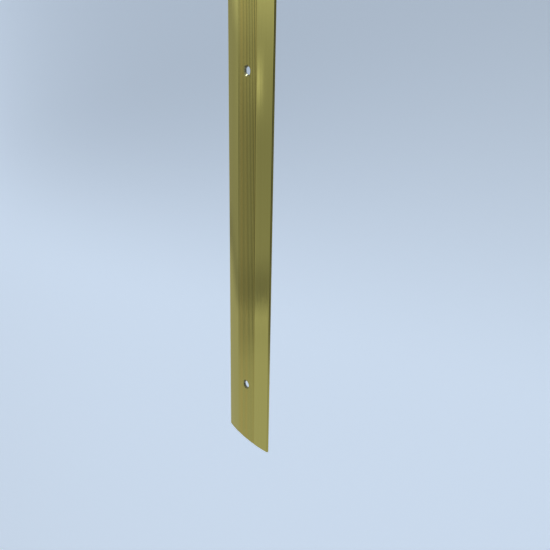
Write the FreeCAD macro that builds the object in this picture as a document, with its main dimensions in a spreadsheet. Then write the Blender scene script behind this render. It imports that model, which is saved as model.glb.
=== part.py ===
import FreeCAD, Part
import math
import os
import Sketcher

# Threshold strip: one arched aluminium extrusion with a finely grooved band along its crown and
# countersunk screw holes on its centreline. Millimetres. The strip lies flat as it is used:
# +X along its length, +Z up, and the origin at the middle of its underside.

SIZES = {
    "strip_length": 900,
    "strip_width": 30,
    "strip_height": 2.4,
    "crown_radius": 76,
    "wall_thickness": 1.0,
    "foot_width": 1.6,
    "corner_radius": 0.5,
    "groove_count": 13,
    "groove_pitch": 0.97,
    "groove_radius": 0.4,
    "groove_depth": 0.2,
    "hole_count": 7,
    "hole_pitch": 140,
    "hole_diameter": 3.0,
    "countersink_diameter": 4.5,
    "countersink_angle": 90,
}

# The crown and the soffit are each drawn as this many arcs of one circle.
SPANS = 8

# A sketch element's two ends and its centre, then the sketch's own axes and origin.
START, END, CENTRE = 1, 2, 3
HORIZONTAL_AXIS, VERTICAL_AXIS, ORIGIN = -1, -2, (-1, 1)

doc = FreeCAD.newDocument("ThresholdStrip")


def make_sheet():
    """The driving dimensions, each in a cell with its own name."""
    sheet = doc.addObject("Spreadsheet::Sheet", "Sizes")
    for row, (name, value) in enumerate(SIZES.items(), start=1):
        sheet.set(f"A{row}", name)
        sheet.set(f"B{row}", str(value))
        sheet.setAlias(f"B{row}", name)
    doc.recompute()
    return sheet


def origin_plane(body, role):
    """One of the body's own origin planes."""
    for feature in body.Origin.OriginFeatures:
        if feature.Role == role:
            return feature
    raise LookupError(role)


def attach(sketch, plane):
    """Lay a sketch flat on a plane."""
    sketch.AttachmentSupport = (plane, [""])
    sketch.MapMode = "FlatFace"


def relate(sketch, kind, *where):
    """Add one geometric constraint to a sketch."""
    sketch.addConstraint(Sketcher.Constraint(kind, *where))


def bind(sketch, kind, where, value, name, formula):
    """Add one dimension to a sketch and drive it from the sheet."""
    index = sketch.addConstraint(Sketcher.Constraint(kind, *where, value))
    sketch.renameConstraint(index, name)
    sketch.setExpression(f"Constraints.{name}", formula)


def add_line(sketch, y1, z1, y2, z2):
    segment = Part.LineSegment(FreeCAD.Vector(y1, z1, 0), FreeCAD.Vector(y2, z2, 0))
    return sketch.addGeometry(segment, False)


def add_arc(sketch, y, z, radius, first_angle, last_angle):
    circle = Part.Circle(FreeCAD.Vector(y, z, 0), FreeCAD.Vector(0, 0, 1), radius)
    return sketch.addGeometry(Part.ArcOfCircle(circle, first_angle, last_angle), False)


def add_arch(sketch, name, z, radius, half_width, half_formula):
    """One long shallow arch over the vertical axis, drawn from right to left in SPANS equal widths.

    The spans share a centre, so they are one smooth arc.
    """
    angles = [math.acos(half_width * (1 - 2 * i / SPANS) / radius) for i in range(SPANS + 1)]
    spans = [add_arc(sketch, 0, z, radius, *pair) for pair in zip(angles, angles[1:])]
    relate(sketch, "PointOnObject", spans[0], CENTRE, VERTICAL_AXIS)
    for before, after in zip(spans, spans[1:]):
        relate(sketch, "Coincident", before, END, after, START)
        relate(sketch, "Coincident", before, CENTRE, after, CENTRE)
    relate(sketch, "PointOnObject", spans[SPANS // 2], START, VERTICAL_AXIS)
    for i in range(1, SPANS // 2):
        share = 1 - 2 * i / SPANS
        right = (*ORIGIN, spans[i], START)
        left = (spans[-i - 1], END, *ORIGIN)
        for side, where in (("right", right), ("left", left)):
            bind(sketch, "DistanceX", where, half_width * share,
                 f"{name}_{side}_split_{i}", f"({half_formula}) * {share}")
    return spans


def section_sketch(body, sheet):
    """The arched section, without its grooves: crown, rounded corners, sides, feet and soffit."""
    half_width, height = sheet.strip_width / 2, sheet.strip_height
    radius, corner = sheet.crown_radius, sheet.corner_radius
    corner_y = half_width - corner
    corner_z = height - radius + math.sqrt((radius - corner) ** 2 - corner_y**2)
    tangent_angle = math.atan2(corner_z - height + radius, corner_y)
    half_crown = radius * math.cos(tangent_angle)
    half_hollow = half_width - sheet.foot_width
    rise = height - sheet.wall_thickness
    soffit_radius = (half_hollow**2 + rise**2) / (2 * rise)
    hollow_formula = "Sizes.strip_width / 2 - Sizes.foot_width"
    rise_formula = "Sizes.strip_height - Sizes.wall_thickness"

    sketch = body.newObject("Sketcher::SketchObject", "Section")
    attach(sketch, origin_plane(body, "YZ_Plane"))
    crown = add_arch(sketch, "crown", height - radius, radius, half_crown,
                     "Sizes.strip_width / 2 - Sizes.corner_radius")
    left_corner = add_arc(sketch, -corner_y, corner_z, corner, math.pi - tangent_angle, math.pi)
    left_side = add_line(sketch, -half_width, corner_z, -half_width, 0)
    left_foot = add_line(sketch, -half_width, 0, -half_hollow, 0)
    soffit = add_arch(sketch, "soffit", rise - soffit_radius, soffit_radius, half_hollow,
                      hollow_formula)
    right_foot = add_line(sketch, half_hollow, 0, half_width, 0)
    right_side = add_line(sketch, half_width, 0, half_width, corner_z)
    right_corner = add_arc(sketch, corner_y, corner_z, corner, 0, tangent_angle)

    relate(sketch, "Tangent", crown[-1], END, left_corner, START)
    relate(sketch, "Tangent", left_corner, END, left_side, START)
    relate(sketch, "Coincident", left_side, END, left_foot, START)
    relate(sketch, "Coincident", left_foot, END, soffit[-1], END)
    relate(sketch, "Coincident", soffit[0], START, right_foot, START)
    relate(sketch, "Coincident", right_foot, END, right_side, START)
    relate(sketch, "Tangent", right_side, END, right_corner, START)
    relate(sketch, "Tangent", right_corner, END, crown[0], START)
    relate(sketch, "Vertical", left_side)
    relate(sketch, "Vertical", right_side)
    relate(sketch, "PointOnObject", left_foot, START, HORIZONTAL_AXIS)
    relate(sketch, "PointOnObject", left_foot, END, HORIZONTAL_AXIS)
    relate(sketch, "PointOnObject", right_foot, START, HORIZONTAL_AXIS)
    relate(sketch, "Symmetric", left_foot, START, right_foot, END, *ORIGIN)
    relate(sketch, "Equal", left_corner, right_corner)
    bind(sketch, "DistanceX", (left_foot, START, right_foot, END), 2 * half_width,
         "width", "Sizes.strip_width")
    bind(sketch, "Radius", (crown[0],), radius, "crown_radius", "Sizes.crown_radius")
    bind(sketch, "DistanceY", (crown[0], CENTRE, *ORIGIN), radius - height,
         "crown_centre", "Sizes.crown_radius - Sizes.strip_height")
    bind(sketch, "Radius", (left_corner,), corner, "corner_radius", "Sizes.corner_radius")
    bind(sketch, "DistanceX", (left_foot, START, left_foot, END), sheet.foot_width,
         "foot_width", "Sizes.foot_width")
    bind(sketch, "Radius", (soffit[0],), soffit_radius, "soffit_radius",
         f"(({hollow_formula}) ^ 2 + ({rise_formula}) ^ 2) / (2 * ({rise_formula}))")
    return sketch


def groove_sketch(body, sheet):
    """One groove's round bottom, drawn about the crown's centre so that a turn repeats it."""
    reach = sheet.crown_radius + sheet.groove_radius - sheet.groove_depth
    first = (sheet.groove_count - 1) / 2 * sheet.groove_pitch / sheet.crown_radius
    turn = "(Sizes.groove_count - 1) / 2 * Sizes.groove_pitch / Sizes.crown_radius * 1 rad"
    reach_formula = "(Sizes.crown_radius + Sizes.groove_radius - Sizes.groove_depth)"

    sketch = body.newObject("Sketcher::SketchObject", "GrooveProfile")
    attach(sketch, origin_plane(body, "YZ_Plane"))
    sketch.setExpression("AttachmentOffset.Base.y", "Sizes.strip_height - Sizes.crown_radius")
    place = FreeCAD.Vector(reach * math.sin(first), reach * math.cos(first), 0)
    circle = Part.Circle(place, FreeCAD.Vector(0, 0, 1), sheet.groove_radius)
    groove = sketch.addGeometry(circle, False)
    bind(sketch, "Radius", (groove,), sheet.groove_radius, "groove_radius", "Sizes.groove_radius")
    bind(sketch, "DistanceX", (*ORIGIN, groove, CENTRE), place.x,
         "first_groove_y", f"{reach_formula} * sin({turn})")
    bind(sketch, "DistanceY", (*ORIGIN, groove, CENTRE), place.y,
         "first_groove_z", f"{reach_formula} * cos({turn})")
    return sketch


def hole_sketch(body, sheet):
    """The first screw hole's centre, at the height of the crown."""
    first_x = (sheet.hole_count - 1) / 2 * sheet.hole_pitch
    sketch = body.newObject("Sketcher::SketchObject", "FirstHole")
    attach(sketch, origin_plane(body, "XY_Plane"))
    sketch.setExpression("AttachmentOffset.Base.z", "Sizes.strip_height")
    circle = Part.Circle(FreeCAD.Vector(-first_x, 0, 0), FreeCAD.Vector(0, 0, 1),
                         sheet.hole_diameter / 2)
    hole = sketch.addGeometry(circle, False)
    relate(sketch, "PointOnObject", hole, CENTRE, HORIZONTAL_AXIS)
    bind(sketch, "Diameter", (hole,), sheet.hole_diameter, "hole_diameter", "Sizes.hole_diameter")
    bind(sketch, "DistanceX", (hole, CENTRE, *ORIGIN), first_x,
         "first_hole_x", "(Sizes.hole_count - 1) / 2 * Sizes.hole_pitch")
    return sketch


def must_remove(feature, body, before):
    """Stop if a cut took nothing away."""
    feature.Refine = False
    body.Tip = feature
    doc.recompute()
    if not body.Shape.Volume < before:
        raise RuntimeError(f"{feature.Name} removed nothing")
    return body.Shape.Volume


def must_repeat(name, before, first, after, count):
    """Stop unless every copy of a cut took away as much as the first one did."""
    copies = (before - after) / (before - first)
    if abs(copies - count) > 0.01:
        raise RuntimeError(f"{name} made {copies:.3f} cuts, not {count}")


def threshold_strip(sheet):
    """The whole strip: the extruded section, its grooves, and its countersunk holes."""
    body = doc.addObject("PartDesign::Body", "Strip")
    body.Label = "threshold_strip"
    body.Placement = FreeCAD.Placement()

    extrusion = body.newObject("PartDesign::Pad", "Extrusion")
    extrusion.Profile = section_sketch(body, sheet)
    extrusion.Midplane = True
    extrusion.Refine = False
    extrusion.setExpression("Length", "Sizes.strip_length")
    doc.recompute()
    plain = body.Shape.Volume

    groove = body.newObject("PartDesign::Pocket", "FirstGroove")
    groove.Profile = groove_sketch(body, sheet)
    groove.Type = "ThroughAll"
    groove.Midplane = True
    first = must_remove(groove, body, plain)

    grooves = body.newObject("PartDesign::PolarPattern", "Grooves")
    grooves.Originals = [groove]
    grooves.Axis = (groove.Profile[0], ["N_Axis"])
    grooves.Mode = "Spacing"
    grooves.setExpression("Offset", "Sizes.groove_pitch / Sizes.crown_radius * 1 rad")
    grooves.setExpression("Occurrences", "Sizes.groove_count")
    grooved = must_remove(grooves, body, first)
    must_repeat("Grooves", plain, first, grooved, sheet.groove_count)

    hole = body.newObject("PartDesign::Hole", "FirstScrewHole")
    hole.Profile = hole_sketch(body, sheet)
    doc.recompute()
    hole.DepthType = "ThroughAll"
    hole.ThreadType = "None"
    hole.HoleCutType = "Countersink"
    hole.setExpression("Diameter", "Sizes.hole_diameter")
    hole.setExpression("HoleCutDiameter", "Sizes.countersink_diameter")
    hole.setExpression("HoleCutCountersinkAngle", "Sizes.countersink_angle * 1 deg")
    first = must_remove(hole, body, grooved)

    holes = body.newObject("PartDesign::LinearPattern", "ScrewHoles")
    holes.Originals = [hole]
    holes.Direction = (origin_plane(body, "YZ_Plane"), [""])
    holes.Mode = "Spacing"
    holes.setExpression("Offset", "Sizes.hole_pitch")
    holes.setExpression("Occurrences", "Sizes.hole_count")
    drilled = must_remove(holes, body, first)
    must_repeat("ScrewHoles", grooved, first, drilled, sheet.hole_count)
    return body


def check(parts):
    """Stop on any failed object, and on any sub-part that isn't one sound solid."""
    for item in doc.Objects:
        if "Invalid" in item.State or "Error" in item.State:
            raise RuntimeError(f"{item.Name} failed: {item.State}")
    for part in parts:
        shape = part.Shape
        if shape.isNull() or not shape.isValid() or len(shape.Solids) != 1:
            raise RuntimeError(f"{part.Label} isn't one valid solid")
        box = shape.BoundBox
        print(part.Label, [round(v, 3) for v in (box.XLength, box.YLength, box.ZLength)],
              round(shape.Volume, 1), len(shape.Faces))


parts = [threshold_strip(make_sheet())]
doc.recompute()
check(parts)
os.makedirs("parts", exist_ok=True)
for part in parts:
    part.Shape.exportStep(f"parts/{part.Label}.step")
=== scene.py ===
import math

import bpy
from mathutils import Matrix, Vector

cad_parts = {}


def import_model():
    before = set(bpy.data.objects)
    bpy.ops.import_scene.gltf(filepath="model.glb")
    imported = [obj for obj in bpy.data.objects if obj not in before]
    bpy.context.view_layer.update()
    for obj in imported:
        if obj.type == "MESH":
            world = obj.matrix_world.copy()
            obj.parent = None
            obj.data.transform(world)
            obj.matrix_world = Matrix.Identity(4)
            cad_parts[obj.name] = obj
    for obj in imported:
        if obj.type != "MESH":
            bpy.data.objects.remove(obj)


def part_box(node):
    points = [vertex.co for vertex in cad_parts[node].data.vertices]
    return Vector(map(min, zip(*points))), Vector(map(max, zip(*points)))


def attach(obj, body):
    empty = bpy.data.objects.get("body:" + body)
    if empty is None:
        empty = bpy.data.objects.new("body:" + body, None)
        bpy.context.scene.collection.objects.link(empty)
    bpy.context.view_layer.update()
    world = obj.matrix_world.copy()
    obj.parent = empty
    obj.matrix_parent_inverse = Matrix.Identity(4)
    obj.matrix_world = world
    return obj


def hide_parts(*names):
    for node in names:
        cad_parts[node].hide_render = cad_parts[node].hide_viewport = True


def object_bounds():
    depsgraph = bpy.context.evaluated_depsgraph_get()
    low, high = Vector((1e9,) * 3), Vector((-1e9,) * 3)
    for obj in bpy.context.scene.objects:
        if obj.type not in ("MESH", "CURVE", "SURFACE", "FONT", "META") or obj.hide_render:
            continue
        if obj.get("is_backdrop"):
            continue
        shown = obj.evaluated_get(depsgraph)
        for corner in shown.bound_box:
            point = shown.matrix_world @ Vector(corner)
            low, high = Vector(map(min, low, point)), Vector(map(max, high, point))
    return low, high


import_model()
cad_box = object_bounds()

MM = 0.001
NODE = "threshold_strip"
LOW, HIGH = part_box(NODE)
HALF_WIDTH = (HIGH.y - LOW.y) / 2
HEIGHT = 2.4 * MM

# The extruded section.
CROWN_RADIUS = 76 * MM
WALL = 1.0 * MM
FOOT_WIDTH = 1.6 * MM
CORNER_RADIUS = 0.5 * MM
FOOT_EASE = 0.12 * MM
GROOVES = 13
GROOVE_PITCH = 0.97 * MM
GROOVE_RADIUS = 0.4 * MM
GROOVE_DEPTH = 0.2 * MM
GROOVE_LIP = 0.08 * MM

# How many pieces each arc of it has.
EASE_STEPS = 4
CORNER_STEPS = 8
FLANGE_STEPS = 16
LIP_STEPS = 4
GROOVE_STEPS = 10
SOFFIT_STEPS = 32

# What is cut into it.
END_EASE = 0.05 * MM
HOLES = 7
HOLE_PITCH = 140 * MM
HOLE_RADIUS = 1.5 * MM
COUNTERSINK_RADIUS = 2.25 * MM
HOLE_SIDES = 96
HOLE_MARGIN = 4 * MM
CUTTER_OVERLAP = 1.0 * MM

# The finishes, in the order of the mesh's material slots.
GOLD, BARE, PALE_GOLD = range(3)
SHARP_ANGLE = math.radians(32)
GOLD_DARK = (0.563, 0.455, 0.112, 1)
GOLD_LIGHT = (0.643, 0.533, 0.145, 1)
GOLD_EDGE = (1.0, 0.93, 0.78, 1)
GOLD_GRAIN = 0.8
GOLD_ROUGHNESS = (0.05, 0.12)
DIE_LINE_DEPTH = 0.022 * MM
CUT_ROUGHNESS = 0.28
BARE_TONES = ((0.20, 0.20, 0.19, 1), (0.52, 0.52, 0.51, 1))
PALE_TONES = ((0.24, 0.20, 0.10, 1), (0.60, 0.53, 0.26, 1))

# Lines a metre along X, Y and Z.
DIE_LINES = (5, 1400, 1400)
BROAD_STREAKS = (1.5, 260, 260)
DYE_STREAKS = (0.8, 420, 420)
TOOL_MARKS = (150, 150, 14000)

# Streaks of deeper dye lie in the grooved band, and on the top face only.
BAND = (GROOVES - 1) / 2 * GROOVE_PITCH + 0.3 * MM
BAND_SOFTNESS = 0.3 * MM
TOP_FACE = (1.5 * MM, 1.9 * MM)
BAND_DYE = (0.655, 0.490, 0.117, 1)

# The floor, a plain sheet that curves up into a wall.
FLOOR_DROP = 0.3
FLOOR_RADIUS = 3.5
COVE = 2.0
WALL_TOP = 7.0
COVE_STEPS = 24
FLOOR_SIDES = 96
# The floor's own pale tone, and a darker tone that is painted shade where the light falls off past the
# strip's middle.
FLOOR_NEAR = (0.815, 0.90, 0.99, 1)
FLOOR_SHADE = (0.54, 0.60, 0.665, 1)
# The floor also glows a little, painted light over the light it gets.
FLOOR_GLOW = 0.395
SHADE_SLANT = 0.227
SHADE_ALONG = (-0.56, -0.18)
SHADE_AROUND = (2.4, 0.6)

# The soft studio that the metal mirrors. A direction has a place along the strip, from -1 to 1, and a
# turn round it, in degrees from +Y towards +Z. Each list below is (place along, brightness).
LIGHT_TINT = (0.86, 1.0, 1.2, 1)
LOW_SIDE = [(-0.82, 0.2), (-0.74, 0.55), (-0.425, 0.53), (-0.395, 0.31), (-0.365, 0.32), (-0.34, 0.39),
            (-0.20, 0.41), (-0.045, 0.42), (0.03, 0.70), (0.25, 0.50), (0.42, 0.12), (0.75, 0.15)]
HIGH_SIDE = [(-0.82, 0.2), (-0.74, 0.60), (-0.49, 0.60), (-0.445, 0.54), (-0.422, 0.70), (-0.413, 0.27),
             (-0.368, 0.28), (-0.354, 0.39), (-0.18, 0.36), (-0.10, 0.42), (-0.05, 0.47), (0.05, 0.72),
             (0.25, 0.50), (0.42, 0.12), (0.75, 0.15)]
OVERHEAD = [(-0.82, 0.2), (-0.70, 0.2), (-0.62, 0.57), (-0.52, 0.57), (-0.44, 0.35), (-0.12, 0.35),
            (0.0, 0.66), (0.22, 0.2), (0.6, 0.1), (0.85, 0.6)]
FRONT = [(-0.9, 0.10), (-0.6, 0.45), (-0.50, 0.35), (-0.44, 0.05), (0.2, 0.04), (0.45, 0.35), (0.7, 0.6)]
BELOW = [(-0.62, 0.62), (-0.53, 0.58), (-0.46, 0.24), (0.0, 0.14), (0.5, 0.35)]
BEHIND = [(-0.56, 0.55), (-0.46, 0.95), (-0.05, 0.95), (0.1, 0.7)]
HORIZON = 0.7
FAR_HORIZON = 0.95

# The turns over which one of these gives way to the next, and the low side's lean along the strip.
HIGH_SIDE_TURN = (22, 40)
OVERHEAD_TURN = (60, 72)
FRONT_TURN = (104, 118)
LEAN_TURN = (24, 13)
LEAN = 0.08

# The same for how far a direction points up, and across to the back.
HORIZON_GLOW = (0.16, 0.04)
GROUND = (0.02, -0.05)
BACK = (-0.15, 0.15)

# Brighter places on the sides, as (first, last, softness) in turn, the same along, and brightness.
LAMPS = [
    ((29, 43, 1.5), (-0.43, -0.08, 0.04), 0.09),
    ((25, 27.5, 1.5), (-0.18, 2.0, 0.1), 0.16),
    ((44, 50, 3), (-0.115, -0.07, 0.03), 0.62),
]
KEY_PLACE = Vector((2.4, 1.3, 1.2))
KEY_SIZE = 0.6
KEY_POWER = 18

# The camera, measured from the middle of the strip's end at -X.
CAMERA_PLACE = Vector((190.2, -214.1, 154.9)) * MM
CAMERA_AIM = Vector((91.6, -20.3, 2.4)) * MM
CAMERA_ROLL = math.radians(-1.17)
SENSOR = 36
LENS = 42.55
CLIP_START = 0.01

# How shader nodes are laid out in the node editor.
NODES_A_ROW = 8
NODE_SPACING = (220, -340)


def arc(y, z, radius, first, last, steps):
    """Points along an arc, both ends included. Angles in radians, from +Y towards +Z."""
    for i in range(steps + 1):
        angle = first + (last - first) * i / steps
        yield y + radius * math.cos(angle), z + radius * math.sin(angle)


def groove_outline():
    """One groove as (distance across, height above the crown): lip, round bottom, lip."""
    centre = GROOVE_RADIUS - GROOVE_DEPTH
    reach = GROOVE_RADIUS + GROOVE_LIP
    lip = math.sqrt(reach**2 - (centre + GROOVE_LIP) ** 2)
    turn = math.asin((centre + GROOVE_LIP) / reach)
    yield from arc(lip, -GROOVE_LIP, GROOVE_LIP, math.pi / 2, math.pi - turn, LIP_STEPS)
    yield from list(arc(0, centre, GROOVE_RADIUS, -turn, turn - math.pi, GROOVE_STEPS))[1:-1]
    yield from arc(-lip, -GROOVE_LIP, GROOVE_LIP, turn, math.pi / 2, LIP_STEPS)


def on_crown(across, above, centre_angle):
    """Wrap a point beside a line along the crown onto the crown's own curve."""
    angle = centre_angle + across / CROWN_RADIUS
    radius = CROWN_RADIUS + above
    return radius * math.sin(angle), HEIGHT - CROWN_RADIUS + radius * math.cos(angle)


def section():
    """The strip's outline seen from its end, anticlockwise, as (y, z) points."""
    crown_z = HEIGHT - CROWN_RADIUS
    corner_y = HALF_WIDTH - CORNER_RADIUS
    corner_z = crown_z + math.sqrt((CROWN_RADIUS - CORNER_RADIUS) ** 2 - corner_y**2)
    tangent = math.atan2(corner_z - crown_z, corner_y)
    pitch_angle = GROOVE_PITCH / CROWN_RADIUS
    first_groove = pitch_angle * (GROOVES - 1) / 2
    groove = list(groove_outline())
    band_edge = math.pi / 2 - first_groove - groove[0][0] / CROWN_RADIUS

    hollow = HALF_WIDTH - FOOT_WIDTH
    rise = HEIGHT - WALL
    soffit_radius = (hollow**2 + rise**2) / (2 * rise)
    soffit_angle = math.acos(hollow / soffit_radius)
    ease_y = HALF_WIDTH - FOOT_EASE

    points = list(arc(ease_y, FOOT_EASE, FOOT_EASE, -math.pi / 2, 0, EASE_STEPS))
    points += arc(corner_y, corner_z, CORNER_RADIUS, 0, tangent, CORNER_STEPS)
    points += list(arc(0, crown_z, CROWN_RADIUS, tangent, band_edge, FLANGE_STEPS))[1:-1]
    for i in range(GROOVES):
        centre_angle = first_groove - i * pitch_angle
        points += [on_crown(across, above, centre_angle) for across, above in groove]
    mirrored = math.pi - band_edge
    points += list(arc(0, crown_z, CROWN_RADIUS, mirrored, math.pi - tangent, FLANGE_STEPS))[1:-1]
    points += arc(-corner_y, corner_z, CORNER_RADIUS, math.pi - tangent, math.pi, CORNER_STEPS)
    points += arc(-ease_y, FOOT_EASE, FOOT_EASE, math.pi, math.pi * 1.5, EASE_STEPS)
    soffit_z = rise - soffit_radius
    points += arc(0, soffit_z, soffit_radius, math.pi - soffit_angle, soffit_angle, SOFFIT_STEPS)
    return points


def inset(points, distance):
    """The same outline, moved inwards by a small distance."""
    moved = []
    for i, (y, z) in enumerate(points):
        before, after = points[i - 1], points[(i + 1) % len(points)]
        along = Vector((after[0] - before[0], after[1] - before[1])).normalized()
        moved.append((y - along.y * distance, z + along.x * distance))
    return moved


def hole_places():
    """Where each hole is along the strip."""
    middle = (LOW.x + HIGH.x) / 2
    return [middle + (i - (HOLES - 1) / 2) * HOLE_PITCH for i in range(HOLES)]


def stations():
    """Where the section is repeated along the strip: close to the ends and beside each hole."""
    found = [LOW.x + END_EASE, HIGH.x - END_EASE]
    for x in hole_places():
        found += [x - HOLE_MARGIN, x + HOLE_MARGIN]
    return sorted(found)


def extruded_mesh():
    """The extrusion, cut square, with its ends just eased."""
    outline = section()
    small = inset(outline, END_EASE)
    rings = [(LOW.x, small)]
    rings += [(x, outline) for x in stations()]
    rings += [(HIGH.x, small)]
    count = len(outline)
    points = [(x, y, z) for x, ring in rings for y, z in ring]
    faces = [tuple(reversed(range(count)))]
    for r in range(len(rings) - 1):
        here, there = r * count, (r + 1) * count
        for i in range(count):
            j = (i + 1) % count
            faces.append((here + i, here + j, there + j, there + i))
    faces.append(tuple(range(len(points) - count, len(points))))
    mesh = bpy.data.meshes.new("strip")
    mesh.from_pydata(points, [], faces)
    ends = (0, len(faces) - 1)
    eased = (0, len(rings) - 2)
    for face in mesh.polygons:
        ring = (face.index - 1) // count
        face.material_index = BARE if face.index in ends or ring in eased else GOLD
    return mesh


def hole_cutter(x):
    """A drill and its countersink, standing in the strip at x: points, faces and face finishes."""
    countersink_depth = COUNTERSINK_RADIUS - HOLE_RADIUS
    profile = [
        (HOLE_RADIUS, -CUTTER_OVERLAP),
        (HOLE_RADIUS, HEIGHT - countersink_depth),
        (COUNTERSINK_RADIUS + CUTTER_OVERLAP, HEIGHT + CUTTER_OVERLAP),
    ]
    points, faces, finishes = [], [], []
    for radius, z in profile:
        for i in range(HOLE_SIDES):
            angle = 2 * math.pi * (i + 0.5) / HOLE_SIDES
            points.append((x + radius * math.cos(angle), radius * math.sin(angle), z))
    for ring, finish in enumerate((BARE, PALE_GOLD)):
        for i in range(HOLE_SIDES):
            j = (i + 1) % HOLE_SIDES
            a, b = ring * HOLE_SIDES, (ring + 1) * HOLE_SIDES
            faces.append((a + i, a + j, b + j, b + i))
            finishes.append(finish)
    faces.append(tuple(reversed(range(HOLE_SIDES))))
    faces.append(tuple(range(len(points) - HOLE_SIDES, len(points))))
    return points, faces, finishes + [BARE, BARE]


def cutters_mesh():
    """All the hole cutters, in one mesh."""
    points, faces, finishes = [], [], []
    for x in hole_places():
        more, loops, looks = hole_cutter(x)
        faces += [tuple(v + len(points) for v in loop) for loop in loops]
        points += more
        finishes += looks
    mesh = bpy.data.meshes.new("cutters")
    mesh.from_pydata(points, [], faces)
    mesh.polygons.foreach_set("material_index", finishes)
    return mesh


def link(name, mesh, materials):
    """A mesh as an object in the scene."""
    for material in materials:
        mesh.materials.append(material)
    obj = bpy.data.objects.new(name, mesh)
    bpy.context.scene.collection.objects.link(obj)
    return obj


def node(tree, kind, **settings):
    """One shader node with its settings, set down beside the last one."""
    row, column = divmod(len(tree.nodes), NODES_A_ROW)
    made = tree.nodes.new(kind)
    made.location = (column * NODE_SPACING[0], row * NODE_SPACING[1])
    for name, value in settings.items():
        setattr(made, name, value)
    return made


def feed(tree, socket, value):
    """Link an output to a socket, or set the socket to a plain number or colour."""
    if isinstance(value, bpy.types.NodeSocket):
        tree.links.new(value, socket)
    else:
        socket.default_value = value


def ramp(tree, value, first, last):
    """0 before first, 1 after last, and a smooth change between them."""
    made = node(tree, "ShaderNodeMapRange", interpolation_type="SMOOTHSTEP")
    for name, given in (("Value", value), ("From Min", first), ("From Max", last)):
        feed(tree, made.inputs[name], given)
    return made.outputs["Result"]


def maths(tree, operation, *values):
    """A sum on values that are each a socket or a number."""
    made = node(tree, "ShaderNodeMath", operation=operation)
    for socket, value in zip(made.inputs, values):
        feed(tree, socket, value)
    return made.outputs["Value"]


def blend(tree, share, first, second, kind="FLOAT", **settings):
    """The first value or colour where the share is 0 and the second where it is 1."""
    made = node(tree, "ShaderNodeMix", data_type=kind, **settings)
    for name, value in (("Factor", share), ("A", first), ("B", second)):
        feed(tree, made.inputs[name], value)
    return made.outputs["Result"]


def between(tree, value, first, last, soft):
    """1 between two limits and 0 outside them, with soft edges."""
    rise = ramp(tree, value, first - soft, first + soft)
    fall = ramp(tree, value, last + soft, last - soft)
    return maths(tree, "MULTIPLY", rise, fall)


def levels(tree, value, stops):
    """A brightness for each place along a value that runs from -1 to 1."""
    made = node(tree, "ShaderNodeValToRGB")
    made.color_ramp.interpolation = "EASE"
    elements = made.color_ramp.elements
    while len(elements) < len(stops):
        elements.new(0.5)
    for element, (at, level) in zip(elements, stops):
        element.position = (at + 1) / 2
        element.color = (level, level, level, 1)
    feed(tree, made.inputs["Fac"], maths(tree, "MULTIPLY_ADD", value, 0.5, 0.5))
    return made.outputs["Color"]


def position(tree, kind="Object"):
    """A texture coordinate as one vector, and as its X, Y and Z."""
    vector = node(tree, "ShaderNodeTexCoord").outputs[kind]
    split = node(tree, "ShaderNodeSeparateXYZ")
    feed(tree, split.inputs[0], vector)
    return vector, split.outputs["X"], split.outputs["Y"], split.outputs["Z"]


def streaks(tree, vector, fineness):
    """Noise drawn out into lines: about so many of them a metre along X, Y and Z."""
    mapping = node(tree, "ShaderNodeMapping")
    feed(tree, mapping.inputs["Vector"], vector)
    feed(tree, mapping.inputs["Scale"], fineness)
    noise = node(tree, "ShaderNodeTexNoise")
    feed(tree, noise.inputs["Vector"], mapping.outputs["Vector"])
    for name, value in (("Scale", 1), ("Detail", 4), ("Roughness", 0.65)):
        feed(tree, noise.inputs[name], value)
    return noise.outputs["Fac"]


def material(name, **plain):
    """A new material with its tree and shader, and the shader's plain values."""
    made = bpy.data.materials.new(name)
    made.use_nodes = True
    shader = made.node_tree.nodes["Principled BSDF"]
    for label, value in plain.items():
        shader.inputs[label.replace("_", " ")].default_value = value
    return made, made.node_tree, shader


def gold_anodised():
    """Gold-dyed anodising over an extruded surface, with die lines along its length."""
    made, tree, shader = material(
        "gold_anodised", Metallic=1.0, Anisotropic=GOLD_GRAIN, Specular_Tint=GOLD_EDGE)
    vector, _, across, up = position(tree)
    lines = streaks(tree, vector, DIE_LINES)
    broad = streaks(tree, vector, BROAD_STREAKS)
    dye = streaks(tree, vector, DYE_STREAKS)

    band = between(tree, across, -BAND, BAND, BAND_SOFTNESS)
    band = maths(tree, "MULTIPLY", band, ramp(tree, up, *TOP_FACE))
    dyed = maths(tree, "MULTIPLY", band, ramp(tree, dye, 0.42, 0.62))
    share = blend(tree, ramp(tree, broad, 0.3, 0.7), lines, broad)
    gold = blend(tree, share, GOLD_DARK, GOLD_LIGHT, "RGBA")
    feed(tree, shader.inputs["Base Color"], blend(tree, dyed, gold, BAND_DYE, "RGBA"))

    rough = node(tree, "ShaderNodeMapRange")
    for name, value in zip(("Value", "To Min", "To Max"), (lines, *GOLD_ROUGHNESS)):
        feed(tree, rough.inputs[name], value)
    feed(tree, shader.inputs["Roughness"], rough.outputs["Result"])
    bump = node(tree, "ShaderNodeBump")
    feed(tree, bump.inputs["Distance"], DIE_LINE_DEPTH)
    feed(tree, bump.inputs["Height"], lines)
    feed(tree, shader.inputs["Normal"], bump.outputs["Normal"])
    tangent = node(tree, "ShaderNodeTangent", direction_type="RADIAL", axis="X")
    feed(tree, shader.inputs["Tangent"], tangent.outputs["Tangent"])
    return made


def cut_metal(name, dark, light):
    """Metal with the marks of the tool that cut it, between two colours."""
    made, tree, shader = material(name, Metallic=1.0, Roughness=CUT_ROUGHNESS)
    marks = ramp(tree, streaks(tree, position(tree)[0], TOOL_MARKS), 0.35, 0.65)
    feed(tree, shader.inputs["Base Color"], blend(tree, marks, dark, light, "RGBA"))
    return made


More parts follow.
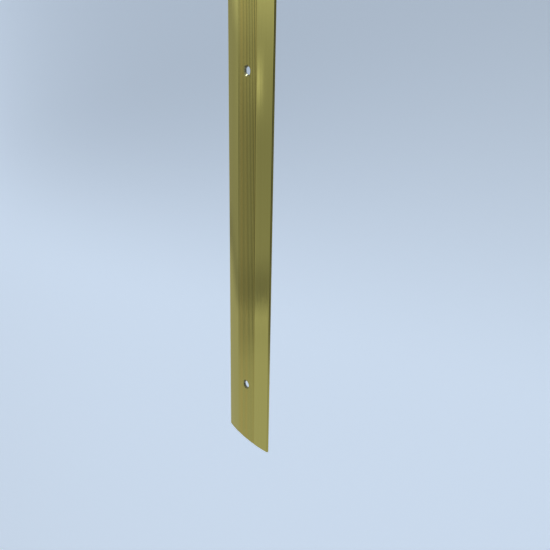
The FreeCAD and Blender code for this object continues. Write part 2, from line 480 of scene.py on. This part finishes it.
def strip():
    """The strip as one mesh: extrusion less holes, in place of the plain CAD node."""
    finishes = [
        gold_anodised(),
        cut_metal("bare_aluminium", *BARE_TONES),
        cut_metal("pale_gold_countersink", *PALE_TONES),
    ]
    body = link("strip", extruded_mesh(), finishes)
    tool = link("cutters", cutters_mesh(), finishes)
    cut = body.modifiers.new("holes", "BOOLEAN")
    cut.operation = "DIFFERENCE"
    cut.solver = "EXACT"
    cut.object = tool
    graph = bpy.context.evaluated_depsgraph_get()
    mesh = bpy.data.meshes.new_from_object(body.evaluated_get(graph))
    body.modifiers.clear()
    body.data = mesh
    bpy.data.objects.remove(tool)
    mesh.shade_smooth()
    mesh.set_sharp_from_angle(angle=SHARP_ANGLE)
    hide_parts(NODE)
    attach(body, "root")


def camera():
    """Above the strip near one end and to one side, looking along it and down at its face."""
    end = Vector((LOW.x, 0, 0))
    place = end + CAMERA_PLACE
    ahead = (end + CAMERA_AIM - place).normalized()
    up = (Vector((1, 0, 0)) - ahead * ahead.x).normalized()
    up = Matrix.Rotation(CAMERA_ROLL, 3, ahead) @ up
    right = ahead.cross(up)
    data = bpy.data.cameras.new("camera")
    data.sensor_width = SENSOR
    data.lens = LENS
    data.clip_start = CLIP_START
    obj = bpy.data.objects.new("camera", data)
    obj.matrix_world = Matrix.Translation(place) @ Matrix((right, up, -ahead)).transposed().to_4x4()
    bpy.context.scene.collection.objects.link(obj)
    bpy.context.scene.camera = obj


def floor_mesh():
    """A disc that rises at its rim into a round wall."""
    profile = list(arc(FLOOR_RADIUS, COVE - FLOOR_DROP, COVE, -math.pi / 2, 0, COVE_STEPS))
    profile += [(FLOOR_RADIUS + COVE, WALL_TOP)]
    points = [(0, 0, -FLOOR_DROP)]
    faces = []
    for ring, (radius, z) in enumerate(profile):
        for i in range(FLOOR_SIDES):
            angle = 2 * math.pi * i / FLOOR_SIDES
            points.append((radius * math.cos(angle), radius * math.sin(angle), z))
            here, beside = 1 + ring * FLOOR_SIDES + i, 1 + ring * FLOOR_SIDES + (i + 1) % FLOOR_SIDES
            inner = (0,) if ring == 0 else (beside - FLOOR_SIDES, here - FLOOR_SIDES)
            faces.append((here, beside) + inner)
    mesh = bpy.data.meshes.new("floor")
    mesh.from_pydata(points, [], faces)
    mesh.shade_smooth()
    return mesh


def studio_floor():
    """A plain pale floor some way below, with painted shade: a little darker past the strip's middle, as
    if the light fell off there. It also glows a little in the same tone, painted light over the light it
    gets.

    The metal mirrors the studio's lights and not this floor, which is only its setting.
    """
    made, tree, shader = material(
        "floor", Roughness=0.8, Specular_IOR_Level=0.1, Emission_Strength=FLOOR_GLOW)
    vector, along, across, _ = position(tree)
    away = node(tree, "ShaderNodeVectorMath", operation="LENGTH")
    feed(tree, away.inputs[0], vector)
    # Painted shade: darker towards +X, fading out between 0.6 and 2.4 m from the floor's middle; the
    # glow below carries it too.
    slanted = maths(tree, "MULTIPLY_ADD", across, SHADE_SLANT, along)
    share = maths(tree, "MULTIPLY", ramp(tree, slanted, *SHADE_ALONG),
                  ramp(tree, away.outputs["Value"], *SHADE_AROUND))
    tone = blend(tree, share, FLOOR_NEAR, FLOOR_SHADE, "RGBA")
    feed(tree, shader.inputs["Base Color"], tone)
    feed(tree, shader.inputs["Emission Color"], tone)
    obj = link("floor", floor_mesh(), [made])
    obj.visible_glossy = False
    obj.visible_diffuse = False
    obj.visible_shadow = False
    obj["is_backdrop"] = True


def world():
    """The soft studio around the strip, as a brightness for each direction."""
    made = bpy.data.worlds.new("studio")
    made.use_nodes = True
    bpy.context.scene.world = made
    tree = made.node_tree
    _, along, across, up = position(tree, "Generated")
    turn = maths(tree, "DEGREES", maths(tree, "ARCTAN2", up, across))

    lean = maths(tree, "MULTIPLY", ramp(tree, turn, *LEAN_TURN), LEAN)
    leaning = maths(tree, "SUBTRACT", along, lean)
    level = blend(tree, ramp(tree, turn, *HIGH_SIDE_TURN), levels(tree, leaning, LOW_SIDE),
                  levels(tree, leaning, HIGH_SIDE))
    for around, lengthwise, brightness in LAMPS:
        lamp = maths(tree, "MULTIPLY", between(tree, turn, *around), between(tree, along, *lengthwise))
        level = maths(tree, "MULTIPLY_ADD", lamp, brightness, level)
    level = blend(tree, ramp(tree, turn, *OVERHEAD_TURN), level, levels(tree, along, OVERHEAD))
    level = blend(tree, ramp(tree, turn, *FRONT_TURN), level, levels(tree, along, FRONT))

    back = ramp(tree, across, *BACK)
    horizon = blend(tree, back, HORIZON, FAR_HORIZON)
    horizon = maths(tree, "MULTIPLY", ramp(tree, up, *HORIZON_GLOW), horizon)
    level = maths(tree, "MAXIMUM", level, horizon)
    below = blend(tree, back, levels(tree, along, BELOW), levels(tree, along, BEHIND))
    level = blend(tree, ramp(tree, up, *GROUND), level, below)
    tinted = blend(tree, 1, LIGHT_TINT, level, "RGBA", blend_type="MULTIPLY")
    feed(tree, tree.nodes["Background"].inputs["Color"], tinted)


def key_light():
    """A square soft light, aimed at the middle of the strip."""
    data = bpy.data.lights.new("key", "AREA")
    data.size = KEY_SIZE
    data.energy = KEY_POWER
    data.color = LIGHT_TINT[:3]
    obj = bpy.data.objects.new("key", data)
    obj.location = KEY_PLACE
    obj.rotation_euler = (-KEY_PLACE).to_track_quat("-Z", "Y").to_euler()
    bpy.context.scene.collection.objects.link(obj)


camera()
strip()
studio_floor()
world()
key_light()
bpy.context.scene.view_settings.view_transform = "Standard"
both = [[list(corner) for corner in box] for box in (cad_box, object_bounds())]
